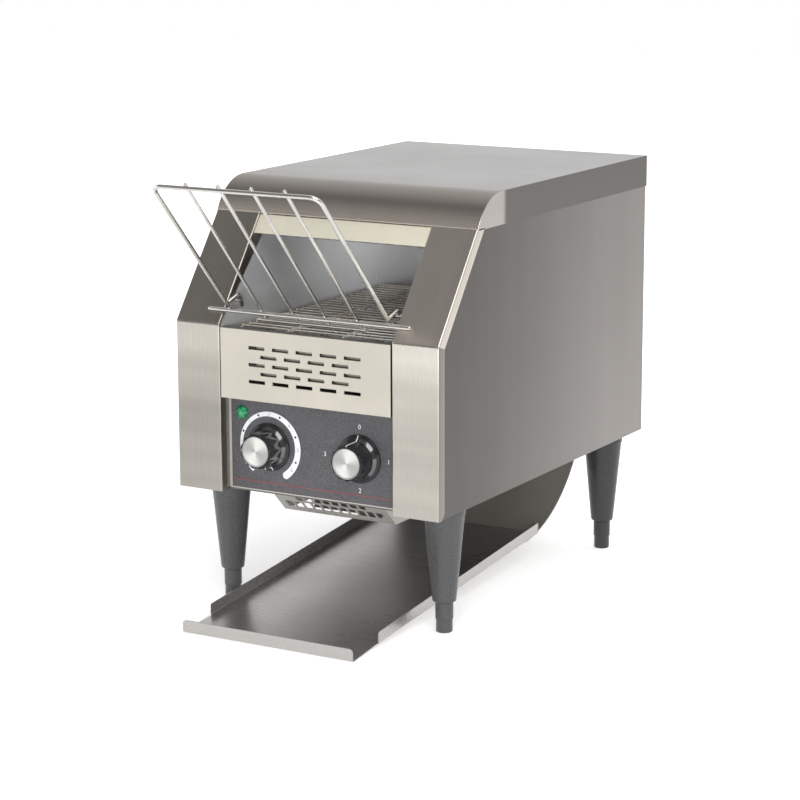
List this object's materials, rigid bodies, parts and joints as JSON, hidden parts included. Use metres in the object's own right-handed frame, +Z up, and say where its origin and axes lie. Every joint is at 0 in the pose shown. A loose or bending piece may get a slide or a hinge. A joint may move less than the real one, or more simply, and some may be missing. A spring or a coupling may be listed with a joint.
{
  "type": "conveyor toaster",
  "caption": "Countertop conveyor toaster: steel body on tapered legs, wire belt tunnel, two knobs, leaning wire bread rack, curved rear chute and front toast tray.",
  "frame": {"origin": "middle of the bounding box in X and Y, at the height of the feet", "axes": "+Z up, the bread entry and the knobs face -Y, +X is to the right of a person who faces the front"},
  "size_m": [0.272, 0.5422, 0.4114],
  "materials": {
    "post_steel": "vertical brushed stainless steel",
    "panel_steel": "brushed stainless steel sheet",
    "cover_steel": "brushed stainless steel sheet",
    "vent_steel": "fine satin stainless steel",
    "inner_steel": "mill-finish stainless steel",
    "tray_steel": "brushed stainless steel sheet",
    "rack_wire": "polished stainless wire",
    "belt_wire": "stainless wire, slightly heat tinted",
    "overlay_print": "dark grey speckled polyester overlay",
    "knob_black": "black glossy phenolic",
    "cap_aluminium": "spun aluminium",
    "pilot_green": "green translucent lens",
    "leg_plastic": "black satin plastic",
    "switch_plastic": "moulded plastic",
    "shaft_steel": "turned steel",
    "bush_bronze": "sintered bronze",
    "motor_steel": "painted steel",
    "chain_steel": "oiled steel",
    "quartz": "clear quartz",
    "coil_alloy": "oxidised resistance wire",
    "ceramic": "unglazed steatite",
    "fan_plastic": "black moulded plastic",
    "screw_steel": "plated steel"
  },
  "bodies": {
    "toaster": {"side_panel_left": "panel_steel", "side_panel_right": "panel_steel", "front_post_left": "post_steel", "front_post_right": "post_steel", "top_cover": "cover_steel", "rear_panel": "panel_steel", "base_plate": "inner_steel", "inner_wall_left": "inner_steel", "inner_wall_right": "inner_steel", "cross_strip": "vent_steel", "upper_reflector": "inner_steel", "lower_reflector": "inner_steel", "heat_shield": "inner_steel", "quartz_tubes": "quartz", "heating_coils": "coil_alloy", "tube_end_caps": "ceramic", "vent_panel": "vent_steel", "control_panel": "post_steel", "control_overlay": "overlay_print", "pilot_lens": "pilot_green", "pilot_housing": "switch_plastic", "speed_potentiometer": "switch_plastic", "mode_switch": "switch_plastic", "control_nuts": "screw_steel", "conveyor_belt": "belt_wire", "shaft_bushes": "bush_bronze", "gear_motor": "motor_steel", "drive_chain": "chain_steel", "fan_housing": "fan_plastic", "air_guard": "post_steel", "chute_sheet": "tray_steel", "rack_studs": "screw_steel", "leg_bolts": "screw_steel", "cord_gland": "switch_plastic", "terminal_block": "switch_plastic", "case_screws": "screw_steel", "leg_front_left": "leg_plastic", "leg_front_right": "leg_plastic", "leg_rear_left": "leg_plastic", "leg_rear_right": "leg_plastic"},
    "speed_control": {"speed_knob": "knob_black", "speed_knob_cap": "cap_aluminium", "speed_shaft": "shaft_steel"},
    "mode_control": {"mode_knob": "knob_black", "mode_knob_cap": "cap_aluminium", "mode_shaft": "shaft_steel"},
    "tray": {"bread_tray": "tray_steel"},
    "rack": {"wire_rack": "rack_wire"},
    "drive_roller": {"drive_shaft": "shaft_steel", "drive_sprockets": "shaft_steel", "drive_chain_sprocket": "shaft_steel"},
    "idler_roller": {"idler_shaft": "shaft_steel", "idler_sprockets": "shaft_steel"},
    "motor_output": {"motor_shaft": "shaft_steel", "motor_chain_sprocket": "shaft_steel"},
    "fan": {"fan_rotor": "fan_plastic"},
    "foot_front_left": {"foot_front_left": "leg_plastic"},
    "foot_front_right": {"foot_front_right": "leg_plastic"},
    "foot_rear_left": {"foot_rear_left": "leg_plastic"},
    "foot_rear_right": {"foot_rear_right": "leg_plastic"}
  },
  "joints": [
    {"name": "speed_knob_turn", "type": "hinge", "parent": "toaster", "child": "speed_control", "pos_m": [-0.046, -0.16292, 0.1588], "axis": [0, 1, 0], "range_deg": [0, 270]},
    {"name": "mode_knob_turn", "type": "hinge", "parent": "toaster", "child": "mode_control", "pos_m": [0.0485, -0.16292, 0.1588], "axis": [0, 1, 0], "range_deg": [0, 270]},
    {"name": "tray_slide", "type": "slide", "parent": "toaster", "child": "tray", "axis": [0, -1, 0], "range_m": [0, 0.3]},
    {"name": "rack_tilt", "type": "hinge", "parent": "toaster", "child": "rack", "pos_m": [0, -0.14092, 0.2885], "axis": [-1, 0, 0], "range_deg": [0, 50]},
    {"name": "belt_drive", "type": "hinge", "parent": "toaster", "child": "drive_roller", "pos_m": [0, 0.11571, 0.24217], "axis": [1, 0, 0], "continuous": true},
    {"name": "idler_spin", "type": "hinge", "parent": "toaster", "child": "idler_roller", "pos_m": [0, -0.1329, 0.24217], "axis": [1, 0, 0], "continuous": true},
    {"name": "motor_spin", "type": "hinge", "parent": "toaster", "child": "motor_output", "pos_m": [0.114, 0.1821, 0.19997], "axis": [1, 0, 0], "continuous": true},
    {"name": "fan_spin", "type": "hinge", "parent": "toaster", "child": "fan", "pos_m": [0, -0.04793, 0.09], "axis": [0, 0, 1], "continuous": true},
    {"name": "foot_front_left_screw", "type": "slide", "parent": "toaster", "child": "foot_front_left", "axis": [0, 0, -1], "range_m": [0, 0.02]},
    {"name": "foot_front_right_screw", "type": "slide", "parent": "toaster", "child": "foot_front_right", "axis": [0, 0, -1], "range_m": [0, 0.02]},
    {"name": "foot_rear_left_screw", "type": "slide", "parent": "toaster", "child": "foot_rear_left", "axis": [0, 0, -1], "range_m": [0, 0.02]},
    {"name": "foot_rear_right_screw", "type": "slide", "parent": "toaster", "child": "foot_rear_right", "axis": [0, 0, -1], "range_m": [0, 0.02]}
  ],
  "couplings": [
    {"joint": "idler_spin", "follows": "belt_drive", "ratio": 1},
    {"joint": "motor_spin", "follows": "belt_drive", "ratio": 1}
  ]
}
